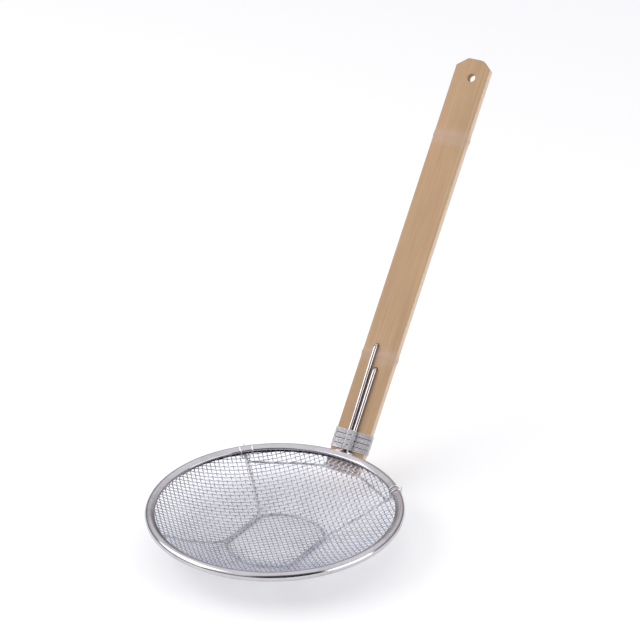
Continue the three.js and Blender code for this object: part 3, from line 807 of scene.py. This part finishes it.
def handle_brace():
    """Bent wire under the cloth between the front legs, bearing on the handle's foot."""
    face = seat[0] - (seat[2] - RIM_HEIGHT + BRACE_DROP) / math.tan(tilt)
    crest = face - (FRAME_RADIUS + TOUCH) / math.sin(tilt)
    leg = leg_reach_at(RIM_HEIGHT - BRACE_END_DROP)
    short_by = math.degrees(BRACE_SHORT_RATIO * FRAME_RADIUS / leg)
    left = ray(FRONT_LEFT_LEG - short_by, leg)
    right = ray(short_by - FRONT_RIGHT_LEG, leg)
    first = bow(right, [crest, -HANDLE_WIDTH / 2], [crest, BRACE_SKEW], 30)
    second = bow([crest, BRACE_SKEW], [crest, HANDLE_WIDTH / 2], left, 30)
    plan = even(np.concatenate([first, second[1:]]), 64)
    end = np.where(plan[:, 1] > BRACE_SKEW, left[1], right[1])
    share = (end - plan[:, 1]) / (end - BRACE_SKEW)
    drop = BRACE_END_DROP + (BRACE_DROP - BRACE_END_DROP) * np.sin(share * math.pi / 2)
    points = np.column_stack([plan, np.minimum(RIM_HEIGHT - drop, under_cloth(plan))])
    parts = [wire(points, FRAME_RADIUS, 14)]
    make_piece("foot_brace", parts, [lightened_frame_wire], ["handle_brace"])
    return points[[0, -1]]


def bead(centre, way, length, girth):
    """Lump of weld metal: a short rough swelling along a direction."""
    way = np.asarray(way, float) / np.linalg.norm(way)
    side = np.cross([0, 0, 1], way)
    up = np.cross(way, side)
    turn = np.arange(WELD_SIDES) / WELD_SIDES * 2 * math.pi
    spread = side * np.cos(turn)[:, None] * WELD_WIDTH_RATIO + up * np.sin(turn)[:, None]
    rings = []
    for t in np.linspace(-WELD_CUT, WELD_CUT, WELD_RINGS):
        swell = girth * math.sqrt(1 - t * t) * rng.uniform(*WELD_ROUGHNESS, WELD_SIDES)
        rings.append(centre + way * t * length / 2 + spread * swell[:, None])
    return skin(np.array(rings))


def weld_beads(brace_ends):
    """Welds of the runs to the base ring, of the ring's own joint and of the brace to the legs."""
    between = (BASE_FLAT + RUN_OFFSET) / 2
    beads = []
    for x in RUN_WELD_PLACES:
        for side in (-1, 1):
            beads.append(bead(np.array([x, side * between, RUN_WELD_HEIGHT]), [1, 0, 0], *RUN_WELD))
    joint = ray(RING_WELD_ANGLE, BASE_RADIUS - RING_WELD_INSET)
    beads.append(bead(np.array([*joint, RING_WELD_HEIGHT]), [-joint[1], joint[0], 0], *RING_WELD))
    for point in brace_ends:
        beads.append(bead(point, [-point[1], point[0], 0], *BRACE_WELD))
    make_piece("weld_beads", beads, [bead_steel])


# Wire ties

def tie_angle(leg, side):
    """Direction beside a leg where a strand passes through the middle of an opening of the cloth."""
    reach = lip_reach - TIE_RADIUS
    angles = leg + np.degrees(side * np.linspace(*TIE_ASIDE, 57) / reach)
    places = np.array([ray(angle - MESH_TURN, reach) for angle in angles])
    clear = np.abs(places[:, :, None] - offsets).min(axis=2).min(axis=1)
    return angles[np.argmax(clear)]


def tie_loop():
    """Taut loop round the roll and the leg's end under it, in reach and height, lowest point first."""
    leg = LEG_REACH - TIE_INSET
    leg_height = float(under_cloth(np.array([[leg, 0]]))[0])
    discs = (
        (ROLL_CENTRE, RIM_HEIGHT, ROLL_RADIUS),
        (ROLL_CENTRE + lip_bend[0], RIM_HEIGHT + lip_bend[1], LIP_BEND),
        (leg, leg_height, FRAME_RADIUS),
    )
    rows = []
    for turn in np.linspace(-math.pi / 2, 1.5 * math.pi, 120):
        way = np.array([math.cos(turn), math.sin(turn)])
        disc = max(discs, key=lambda d: way @ d[:2] + d[2])
        rows.append(np.array(disc[:2]) + way * (disc[2] + TIE_RADIUS + TOUCH))
    return even(rows, 49)[:-1]


def rim_tie(name, node, leg):
    """Two strands over the rim and under the leg's end, one end along the leg, the other standing up."""
    loop = tie_loop()
    steps = len(loop)
    lowest = loop[0, 1]
    strands = [tie_angle(leg, -1), tie_angle(leg, 1)]
    rise = smoothed((loop[:, 1] - lowest) / (loop[:, 1].max() - lowest))
    start, stop = TIE_CROSSING
    points = []
    for lap in range(2):
        for k, (reach, height) in enumerate(loop):
            switch = smoothed((k / steps - start) / (stop - start)) if lap == 0 else 0
            angle = strands[lap] + (strands[1] - strands[0]) * switch
            points.append([*ray(leg + (angle - leg) * (1 + TIE_SPREAD * rise[k]), reach), height])
    for k in range(TIE_LAST_STEPS):
        angle = strands[1] + (leg - strands[1]) * smoothed(k / TIE_RETURN_STEPS)
        points.append([*ray(angle, loop[k, 0] + TIE_RADIUS), loop[k, 1]])
    standing = np.array(points[-1]) - np.array(points[-3])
    standing /= np.linalg.norm(standing)
    near, far = TIE_TIP
    points += [points[-1] + standing * near, points[-1] + standing * far + [0, 0, TIE_TIP_RISE]]
    lead = [[*ray(leg, LEG_REACH - back), lowest - fall] for back, fall in TIE_LEAD]
    laid = even(curve(np.array(lead + points[2:]), 3), 320)
    beside = [-math.sin(math.radians(leg)), math.cos(math.radians(leg)), 0]
    make_piece(name, [wire(laid, TIE_RADIUS, 8, beside)], [tie_wire], [node])


# Bamboo handle and its binding

def handle_section(half_width, thickness, rise):
    """Outline of the slat: rounded edges and a slightly crowned face."""
    half = half_width - EDGE_ROUND
    low_y, high_y = -HANDLE_THICKNESS + EDGE_ROUND, -HANDLE_CROWN - EDGE_ROUND
    arc = np.linspace(0, math.pi / 2, 6)
    quarter = EDGE_ROUND * np.stack([np.cos(arc), np.sin(arc)], 1)
    turned = EDGE_ROUND * np.stack([-np.sin(arc), np.cos(arc)], 1)
    t = np.linspace(0, 1, 25)[1:-1]
    face = np.stack([half * (1 - 2 * t), -HANDLE_CROWN + 4 * t * (1 - t) * HANDLE_CROWN], 1)
    back = np.stack([-half * (1 - 2 * t), np.full(len(t), -HANDLE_THICKNESS)], 1)
    outline = np.concatenate([
        [half, low_y] - turned,
        [half, high_y] + quarter,
        face,
        [-half, high_y] + turned,
        [-half, low_y] - quarter,
        back,
    ])
    middle = -HANDLE_THICKNESS / 2
    wide = 1 + rise / half_width
    deep = (thickness + 2 * rise) / HANDLE_THICKNESS
    return np.stack([outline[:, 0] * wide, middle + (outline[:, 1] - middle) * deep], 1)


def drill(x, height, radius):
    """Drill across the slat with a slightly flared mouth at both faces."""
    mouth = np.array([FLARE_START, -FLARE_DEPTH])
    start, stop = DRILL_ENDS
    depths = [start, *mouth, *(-HANDLE_THICKNESS - mouth)[::-1], stop]
    wider = np.array([1, 1, 0, 0, 1, 1]) * HOLE_FLARE
    turn = np.arange(40) / 40 * 2 * math.pi
    circle = np.stack([np.cos(turn), 0 * turn, np.sin(turn)], 1)
    rings = [[x, y, height] + circle * (radius + more) for y, more in zip(depths, wider)]
    return skin(on_handle(rings))


def bamboo_handle():
    """Slat with swollen nodes, cut corners, a hanging hole and two holes for the hoop's ends."""
    top = HANDLE_REACH
    heights = np.unique(np.concatenate([
        np.arange(-HANDLE_FOOT, top, SLAT_STEP),
        *[np.linspace(node - NODE_REACH, node + NODE_REACH, 27) for node in NODE_HEIGHTS],
        np.array(END_STEPS) - HANDLE_FOOT,
        np.linspace(top - CORNER_RUN - 1, top - 1, 16),
        top - np.array([0, *END_STEPS]),
    ]))
    rings = []
    for height in heights:
        away = (height - np.array(NODE_HEIGHTS)) / NODE_WIDTH
        rise = NODE_RISE * float(np.exp(-away ** 2).sum())
        cut_off = CORNER_CUT * max(0, (height - top + CORNER_RUN) / CORNER_RUN)
        short = max(0, END_ROUND - min(height + HANDLE_FOOT, top - height))
        inset = END_ROUND - math.sqrt(END_ROUND ** 2 - short ** 2)
        section = handle_section(HANDLE_WIDTH / 2 - cut_off - inset, HANDLE_THICKNESS - 2 * inset, rise)
        rings.append(np.column_stack([section, np.full(len(section), height)]))
    piece = make_piece("bamboo_slat", [skin(on_handle(rings))], [bamboo], ["bamboo_handle"])
    cut(piece, [
        drill(HANG_HOLE_OFFSET, top - HANG_HOLE_SETBACK, HANG_HOLE / 2),
        drill(LEFT_HOLE, LEFT_TAIL_REACH, CORE_RADIUS + WIRE_HOLE_SLACK),
        drill(RIGHT_HOLE, RIGHT_TAIL_REACH, CORE_RADIUS + WIRE_HOLE_SLACK),
    ])


def arc_points(x, y, radius, start, stop):
    """Points of an arc about a middle, from one angle to another."""
    turns = np.radians(np.linspace(start, stop, 7))
    return [[x + radius * math.cos(turn), y + radius * math.sin(turn)] for turn in turns]


def binding_turn():
    """One turn of the binding round the slat and over the hoop's ends, from the middle of the back."""
    off = BINDING_RADIUS + TOUCH
    edge = HANDLE_WIDTH / 2 - EDGE_ROUND
    hug = CORE_RADIUS + BINDING_RADIUS + TOUCH
    hump = TAIL_OFFSET + TAIL_SHIFT
    knee = hump + hug + KNEE_GAP
    right = np.array([
        *arc_points(edge, -HANDLE_THICKNESS + EDGE_ROUND, EDGE_ROUND + off, -90, 0),
        *arc_points(edge, -HANDLE_CROWN - EDGE_ROUND, EDGE_ROUND + off, 0, 88),
        *[[x, off - HANDLE_CROWN * (x / edge) ** 2] for x in np.linspace(edge, knee, 5)[1:-1]],
        [knee, off + KNEE_RISE],
        *arc_points(hump, CORE_RADIUS + TOUCH, hug, 12, 90),
    ])
    loop = np.concatenate([[[0, -HANDLE_THICKNESS - off]], right, (right * [-1, 1])[::-1]])
    return even(curve(np.concatenate([loop, loop[:1]]), 4), 97)[:-1]


def handle_binding():
    """Turns laid side by side in groups, climbing the handle, with both ends tucked in at the back."""
    loop = binding_turn()
    lean = rng.uniform(-BINDING_LEAN, BINDING_LEAN, BINDING_TURNS + 1)
    lap, share = np.divmod(np.arange(BINDING_TURNS * len(loop)) / len(loop), 1)
    lap = lap.astype(int)
    last_of_group = (lap + 1) % GROUP_TURNS == 0
    skipped = lap // GROUP_TURNS + last_of_group * smoothed((share - GROUP_STEP) / (1 - GROUP_STEP))
    height = BINDING_START + BINDING_PITCH * (lap + share) + GROUP_GAP * skipped
    height += lean[lap] * (1 - share) + lean[lap + 1] * share
    points = np.column_stack([np.tile(loop, (BINDING_TURNS, 1)), height])
    lead = np.concatenate([points[0] + np.array(BINDING_LEAD), points[:1]])
    trail = np.concatenate([points[-1:], points[-1] + np.array(BINDING_TRAIL)])
    laid = np.concatenate([curve(lead, 5)[:-1], points, curve(trail, 5)[1:]])
    parts = [wire(on_handle(laid), BINDING_RADIUS, 8, along)]
    make_piece("wire_binding", parts, [wound], ["handle_binding"])


rim_band()
rim_hoop()
make_piece("mesh_warp_wires", woven_wires(0), [cloth_wire], ["mesh_warp"])
make_piece("mesh_weft_wires", woven_wires(1), [cloth_wire], ["mesh_weft"])
base_ring()
support_wire("leg_wire_left", "support_wire_left", 1, FRONT_LEFT_LEG)
support_wire("leg_wire_right", "support_wire_right", -1, FRONT_RIGHT_LEG)
weld_beads(handle_brace())
rim_tie("tie_left", "rim_tie_left", FRONT_LEFT_LEG)
rim_tie("tie_right", "rim_tie_right", -FRONT_RIGHT_LEG)
bamboo_handle()
handle_binding()


# Studio: a soft grey room, a white floor that keeps the shadow, and two large soft lamps; in metres

ROOM_COLOUR = (0.97, 0.97, 1.0, 1)
ROOM_LEVELS = (0.17, 1.04)
CEILING_START = 0.75
DARK_SIDE = (-0.613, -0.635, 0.469)
DARK_EDGE = (0.8, 0.93)
DARK_LEVEL = 0.1
FLOOR_COLOUR = (0.98, 0.98, 0.985, 1)
FLOOR_GLOW = 0.07
FLOOR_HALF = 8.0
FLOOR_LEVEL = -0.0002


def seen_directly(tree):
    """1 for rays from the camera, from glossy surfaces and through clear ones, else 0."""
    path = add_node(tree, "ShaderNodeLightPath")
    shiny = maths(tree, "MAXIMUM", path.outputs["Is Glossy Ray"], path.outputs["Is Transmission Ray"])
    return maths(tree, "MAXIMUM", path.outputs["Is Camera Ray"], shiny)


def studio_world():
    """Room that grows lighter from its walls to its ceiling, with a dark part in front."""
    world = bpy.data.worlds.new("studio")
    bpy.context.scene.world = world
    world.use_nodes = True
    tree = world.node_tree
    tree.nodes.clear()
    facing = add_node(tree, "ShaderNodeTexCoord").outputs["Generated"]
    split = add_node(tree, "ShaderNodeSeparateXYZ", {0: facing})
    level = span(tree, split.outputs["Z"], 0.0, CEILING_START, *ROOM_LEVELS, smooth=True)
    ahead = add_node(tree, "ShaderNodeVectorMath", {0: facing, 1: DARK_SIDE}, operation="DOT_PRODUCT")
    shaded = span(tree, ahead.outputs["Value"], *DARK_EDGE, 1.0, DARK_LEVEL, smooth=True)
    light = maths(tree, "MULTIPLY", level, shaded)
    room = add_node(tree, "ShaderNodeBackground", {"Color": ROOM_COLOUR, "Strength": light})
    add_node(tree, "ShaderNodeOutputWorld", {0: room.outputs[0]})


def studio_floor():
    """Square floor, lit by the lamps and slightly by itself."""
    mesh = bpy.data.meshes.new("floor")
    sides = ((-1, -1), (1, -1), (1, 1), (-1, 1))
    mesh.from_pydata([(x * FLOOR_HALF, y * FLOOR_HALF, FLOOR_LEVEL) for x, y in sides], [], [(0, 1, 2, 3)])
    material = bpy.data.materials.new("floor")
    material.use_nodes = True
    tree = material.node_tree
    tree.nodes.clear()
    lit = add_node(tree, "ShaderNodeBsdfDiffuse", {"Color": FLOOR_COLOUR})
    glow_level = maths(tree, "MULTIPLY", seen_directly(tree), FLOOR_GLOW)
    glow = add_node(tree, "ShaderNodeEmission", {"Strength": glow_level})
    both = add_node(tree, "ShaderNodeAddShader", {0: lit.outputs[0], 1: glow.outputs[0]})
    add_node(tree, "ShaderNodeOutputMaterial", {0: both.outputs[0]})
    mesh.materials.append(material)
    floor = bpy.data.objects.new("floor", mesh)
    bpy.context.collection.objects.link(floor)


def lamp(name, azimuth, elevation, distance, size, power):
    """Soft lamp in a direction from the part's origin, facing it."""
    data = bpy.data.lights.new(name, "AREA")
    data.shape = "RECTANGLE"
    data.size, data.size_y = size
    data.energy = power
    level = math.cos(math.radians(elevation))
    way = Vector((*ray(azimuth, level), math.sin(math.radians(elevation))))
    made = bpy.data.objects.new(name, data)
    made.location = way * distance
    made.rotation_euler = way.to_track_quat("Z", "Y").to_euler()
    bpy.context.collection.objects.link(made)


studio_world()
studio_floor()
lamp("right_lamp", azimuth=275, elevation=12, distance=2.0, size=(1.6, 1.0), power=12.0)
lamp("left_lamp", azimuth=128, elevation=38, distance=2.0, size=(1.8, 1.5), power=15.0)

bpy.context.scene.view_settings.view_transform = "Standard"
